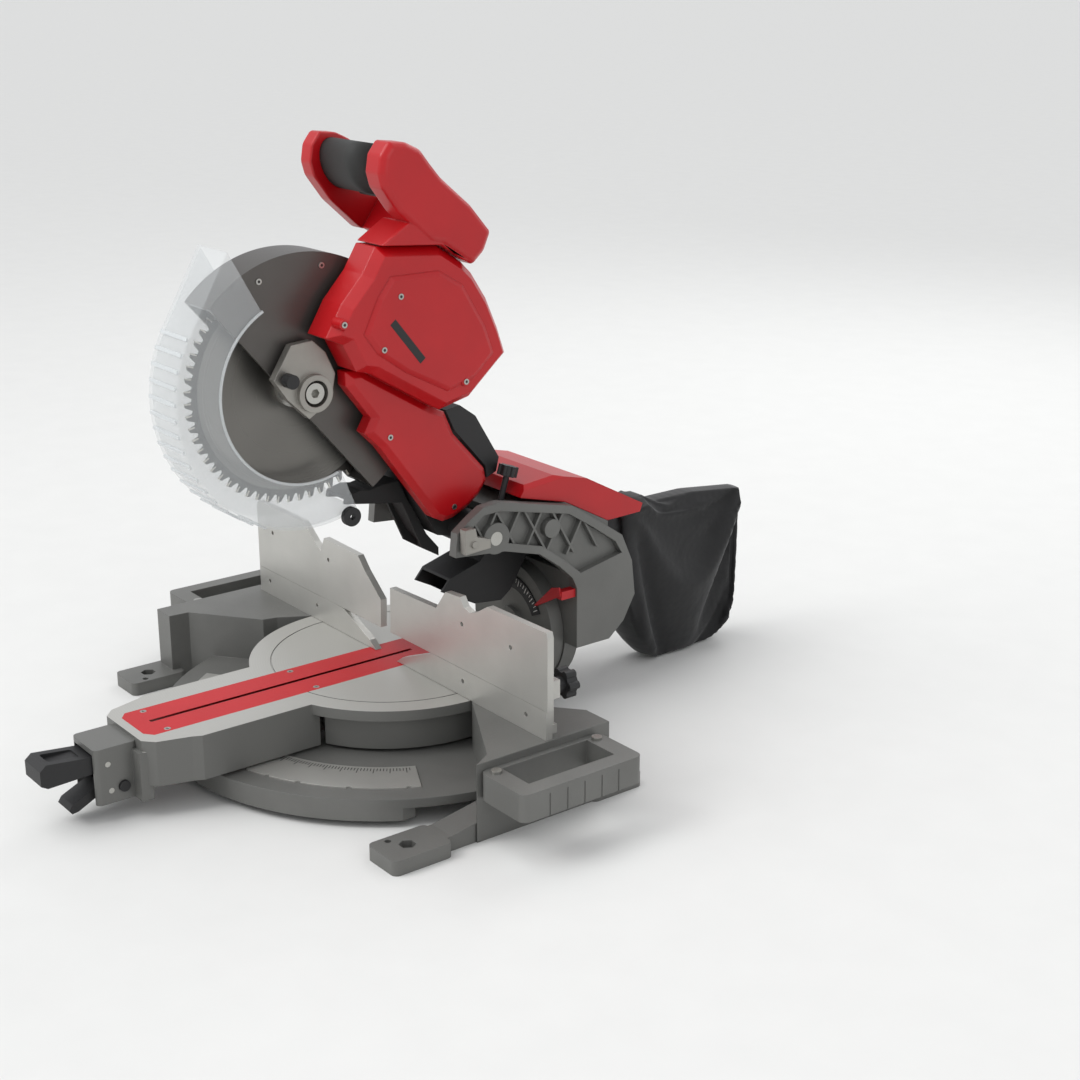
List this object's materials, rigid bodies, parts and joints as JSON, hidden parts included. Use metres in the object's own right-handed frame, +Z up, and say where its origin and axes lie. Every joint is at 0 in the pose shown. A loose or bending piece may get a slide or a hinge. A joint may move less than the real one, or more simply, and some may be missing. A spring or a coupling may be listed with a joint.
{
  "type": "sliding miter saw",
  "caption": "Sliding compound miter saw with turntable, sliding fences, bevel arm, pivoting motor head, toothed blade, swinging clear guard and dust bag.",
  "frame": {"origin": "on the floor plane under the feet, below the turntable's axis", "axes": "+X to the operator's right, +Y to the rear, +Z up"},
  "size_m": [0.744, 0.949, 0.673],
  "materials": {
    "cast_grey": "satin paint on cast aluminium",
    "machined": "machined",
    "red_plastic": "fine texture",
    "red_housing": "moulded, semi-gloss",
    "dark_plastic": "fine texture",
    "grip_rubber": "crosshatched",
    "gunmetal": "dark satin",
    "clear": "clear polycarbonate",
    "blade_steel": "radially ground",
    "steel": "turned and plated",
    "zinc": "as cast",
    "bag_nylon": "woven nylon",
    "belt_rubber": "matt",
    "scale_black": "printed"
  },
  "bodies": {
    "base": {"base_casting": "cast_grey", "right_carry_handle": "cast_grey", "left_carry_handle": "cast_grey", "handle_screws": "steel", "miter_scale_plate": "machined", "right_lower_fence": "machined", "left_lower_fence": "machined", "fence_bolts": "steel", "miter_pivot_bolt": "steel"},
    "left_fence": {"left_sliding_fence": "machined"},
    "right_fence": {"right_sliding_fence": "machined"},
    "left_knob": {"left_fence_knob": "dark_plastic"},
    "right_knob": {"right_fence_knob": "dark_plastic"},
    "table": {"turntable": "machined", "kerf_plate": "red_plastic", "kerf_plate_screws": "steel", "rail_bushings": "steel", "lever_pins": "steel"},
    "lock_lever": {"miter_lock_lever": "dark_plastic"},
    "detent": {"detent_lever": "dark_plastic"},
    "detent_push": {"detent_button": "dark_plastic"},
    "slide_lock": {"slide_lock_knob": "dark_plastic"},
    "carriage": {"trunnion": "cast_grey", "slide_rails": "steel", "bevel_scale": "scale_black"},
    "arm": {"arm_casting": "cast_grey", "arm_top_cover": "red_housing", "bevel_pointer": "red_plastic", "dust_pipe": "dark_plastic", "dust_chute": "dark_plastic", "dust_bag": "bag_nylon", "bag_collar": "dark_plastic", "hinge_shaft": "steel", "lift_spring": "steel"},
    "head_pin": {"head_lock_pin": "steel"},
    "bevel_lever": {"bevel_lock_lever": "dark_plastic"},
    "depth_knob": {"depth_stop_knob": "dark_plastic"},
    "head": {"head_casting": "cast_grey", "upper_guard": "gunmetal", "dust_deflector": "grip_rubber", "motor_housing": "red_housing", "handle_frame": "red_housing", "handle_grip": "grip_rubber", "battery_dock": "dark_plastic", "motor_stator": "steel", "belt_cover": "dark_plastic", "drive_belt": "belt_rubber", "guard_bracket": "zinc", "head_screws": "steel"},
    "switch": {"trigger": "dark_plastic"},
    "lock_off": {"lock_off_button": "dark_plastic"},
    "spindle_button": {"spindle_lock": "dark_plastic"},
    "arbor": {"arbor_shaft": "steel", "blade": "blade_steel", "blade_flanges": "steel", "arbor_bolt": "steel"},
    "rotor": {"motor_rotor": "steel"},
    "swing_guard": {"lower_guard": "clear"},
    "roller": {"guard_roller": "dark_plastic"}
  },
  "joints": [
    {"name": "miter", "type": "hinge", "parent": "base", "child": "table", "pos_m": [0, 0, 0.086], "axis": [0, 0, 1], "range_deg": [-50, 60]},
    {"name": "lock_lever_turn", "type": "hinge", "parent": "table", "child": "lock_lever", "pos_m": [0, -0.368, 0.064], "axis": [1, 0, 0], "range_deg": [0, 15]},
    {"name": "detent_turn", "type": "hinge", "parent": "table", "child": "detent", "pos_m": [0, -0.366, 0.034], "axis": [1, 0, 0], "range_deg": [0, 12], "stiffness_Nm_per_rad": 0.6, "springref_deg": -17.19},
    {"name": "detent_press", "type": "slide", "parent": "table", "child": "detent_push", "axis": [-1, 0, 0], "range_m": [0, 0.002], "stiffness_N_per_m": 400, "springref_m": -0.001},
    {"name": "slide_lock_turn", "type": "hinge", "parent": "table", "child": "slide_lock", "pos_m": [0.15, 0.02, 0.048], "axis": [1, 0, 0], "range_deg": [0, 180]},
    {"name": "slide", "type": "slide", "parent": "table", "child": "carriage", "axis": [0, -1, 0], "range_m": [-0.165, 0]},
    {"name": "bevel", "type": "hinge", "parent": "carriage", "child": "arm", "pos_m": [0, 0, 0.086], "axis": [0, 1, 0], "range_deg": [-48, 2]},
    {"name": "bevel_lock_turn", "type": "hinge", "parent": "carriage", "child": "bevel_lever", "pos_m": [0, 0.26, 0.086], "axis": [0, 1, 0], "range_deg": [0, 60]},
    {"name": "head_pin_pull", "type": "slide", "parent": "arm", "child": "head_pin", "axis": [1, 0, 0], "range_m": [0, 0.012]},
    {"name": "depth_stop_turn", "type": "hinge", "parent": "arm", "child": "depth_knob", "pos_m": [0.064, 0.103, 0.251], "axis": [0, 0.3, 0.9539], "range_deg": [0, 180]},
    {"name": "head_tilt", "type": "hinge", "parent": "arm", "child": "head", "pos_m": [0, 0.075, 0.236], "axis": [1, 0, 0], "range_deg": [0, 50]},
    {"name": "trigger_pull", "type": "slide", "parent": "head", "child": "switch", "axis": [0, -0.436, 0.9], "range_m": [0, 0.003], "stiffness_N_per_m": 600, "springref_m": -0.003},
    {"name": "lock_off_press", "type": "slide", "parent": "head", "child": "lock_off", "axis": [1, 0, 0], "range_m": [0, 0.003], "stiffness_N_per_m": 300},
    {"name": "spindle_press", "type": "slide", "parent": "head", "child": "spindle_button", "axis": [-1, 0, 0], "range_m": [0, 0.004], "stiffness_N_per_m": 500, "springref_m": -0.002},
    {"name": "blade_spin", "type": "hinge", "parent": "head", "child": "arbor", "pos_m": [0, -0.117, 0.419], "axis": [1, 0, 0], "continuous": true},
    {"name": "motor_spin", "type": "hinge", "parent": "head", "child": "rotor", "pos_m": [0, 0.058, 0.464], "axis": [1, 0, 0], "continuous": true},
    {"name": "guard_lift", "type": "hinge", "parent": "head", "child": "swing_guard", "pos_m": [0, -0.117, 0.419], "axis": [1, 0, 0], "range_deg": [-125, 0]},
    {"name": "roller_spin", "type": "hinge", "parent": "swing_guard", "child": "roller", "pos_m": [0.034, -0.07129, 0.27404], "axis": [1, 0, 0], "continuous": true},
    {"name": "left_fence_slide", "type": "slide", "parent": "base", "child": "left_fence", "axis": [-1, 0, 0], "range_m": [0, 0.06]},
    {"name": "right_fence_slide", "type": "slide", "parent": "base", "child": "right_fence", "axis": [1, 0, 0], "range_m": [0, 0.06]},
    {"name": "left_knob_turn", "type": "hinge", "parent": "left_fence", "child": "left_knob", "pos_m": [-0.276, 0.02, 0.134], "axis": [0, 1, 0], "range_deg": [0, 180]},
    {"name": "right_knob_turn", "type": "hinge", "parent": "right_fence", "child": "right_knob", "pos_m": [0.276, 0.02, 0.134], "axis": [0, 1, 0], "range_deg": [0, 180]}
  ],
  "couplings": [
    {"joint": "motor_spin", "follows": "blade_spin", "ratio": 2.8},
    {"joint": "guard_lift", "follows": "head_tilt", "ratio": -2.5}
  ]
}
